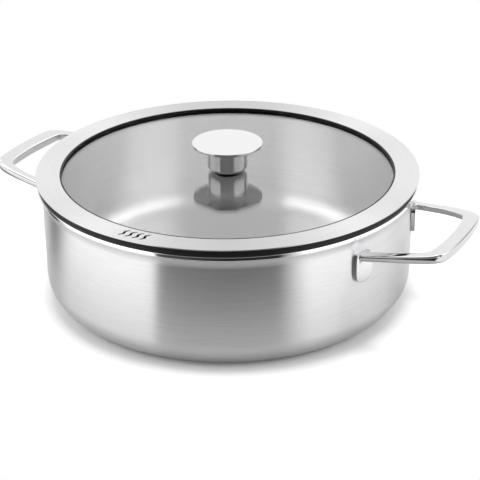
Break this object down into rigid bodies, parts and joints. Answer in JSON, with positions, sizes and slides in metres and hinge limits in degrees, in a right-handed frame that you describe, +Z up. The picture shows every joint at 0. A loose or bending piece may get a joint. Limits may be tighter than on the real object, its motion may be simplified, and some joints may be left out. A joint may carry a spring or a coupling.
{
  "type": "saute pan with lid",
  "caption": "Low round steel saute pan with a loop handle on each side and a flat glass lid that lifts off, in a steel ring with a silicone seal, steam slots and a mushroom knob.",
  "frame": {"origin": "on the table, under the middle of the pan's base", "axes": "+Z up along the axis of the pan and lid, +X towards the handle on the right in the picture, -Y towards the lid's steam slots"},
  "size_m": [0.3902, 0.2936, 0.1201],
  "materials": {
    "clad_steel": "fine brushing round the pan, polished lip",
    "polished_steel": "mirror polish",
    "ring_steel": "fine brushing round the ring",
    "black_silicone": "satin",
    "clear_glass": "clear, polished",
    "fastener_steel": "satin"
  },
  "bodies": {
    "pan": {"pan_body": "clad_steel", "handle_right": "polished_steel", "handle_left": "polished_steel"},
    "seal": {"lid_seal": "black_silicone"},
    "lid": {"lid_ring": "ring_steel", "lid_glass": "clear_glass", "knob": "polished_steel", "knob_gasket": "black_silicone", "knob_bush": "black_silicone", "knob_washer": "fastener_steel", "knob_screw": "fastener_steel"}
  },
  "joints": [
    {"name": "lid_lift", "type": "slide", "parent": "pan", "child": "seal", "axis": [0, 0, 1], "range_m": [0, 0.15]},
    {"name": "lid_turn", "type": "hinge", "parent": "seal", "child": "lid", "pos_m": [0, 0, 0.0987], "axis": [0, 0, 1], "continuous": true}
  ]
}
